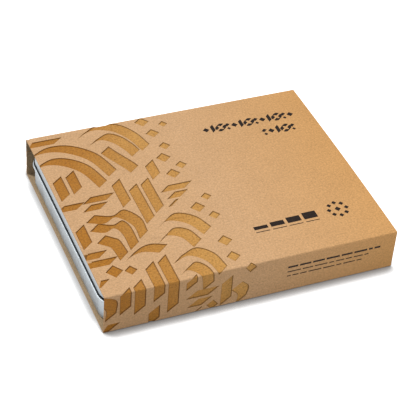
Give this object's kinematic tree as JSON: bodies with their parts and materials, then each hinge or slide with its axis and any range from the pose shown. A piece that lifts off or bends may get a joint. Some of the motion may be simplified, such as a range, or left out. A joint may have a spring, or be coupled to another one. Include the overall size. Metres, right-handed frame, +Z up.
{
  "type": "calligraphy set box",
  "caption": "Flat hinged metal tin with rounded corners, holding a broad-nib pen set in a formed tray, inside an open-ended kraft board sleeve that slides off.",
  "frame": {"origin": "on the surface it lies on, under the middle of the sleeve", "axes": "+X along the sleeve's long edge, towards its right-hand open end; +Y to the glued back; +Z up"},
  "size_m": [0.173, 0.142, 0.027],
  "materials": {
    "kraft_board": "uncoated kraft board, pressed and varnished pattern",
    "tinplate": "satin tinplate, fine grain",
    "steel_wire": "drawn wire",
    "tray_sheet": "formed sheet, matt black",
    "leaflet_paper": "uncoated, folded",
    "pen_body": "polished black resin",
    "grip": "fine matt black",
    "feed": "moulded black",
    "nib_steel": "polished steel",
    "bright_trim": "polished",
    "cartridge": "moulded, dark blue with ink"
  },
  "bodies": {
    "sleeve": {"sleeve": "kraft_board"},
    "tin": {"tin_base": "tinplate", "tin_lid": "tinplate", "hinge_pin_left": "steel_wire", "hinge_pin_right": "steel_wire", "tray": "tray_sheet", "leaflet": "leaflet_paper", "pen_barrel": "pen_body", "pen_section": "grip", "pen_feed": "feed", "pen_nib": "nib_steel", "spare_section_1": "grip", "spare_feed_1": "feed", "spare_nib_1": "nib_steel", "spare_section_2": "grip", "spare_feed_2": "feed", "spare_nib_2": "nib_steel", "fitted_cartridge": "cartridge", "ink_cartridges": "cartridge"},
    "cap": {"pen_cap": "pen_body", "cap_band": "bright_trim", "cap_finial": "bright_trim", "pen_clip": "bright_trim"}
  },
  "joints": [
    {"name": "tin_slide", "type": "slide", "parent": "sleeve", "child": "tin", "axis": [1, 0, 0], "range_m": [-0.175, 0.175]},
    {"name": "cap_pull", "type": "slide", "parent": "tin", "child": "cap", "axis": [1, 0, 0], "range_m": [0, 0.046]}
  ]
}
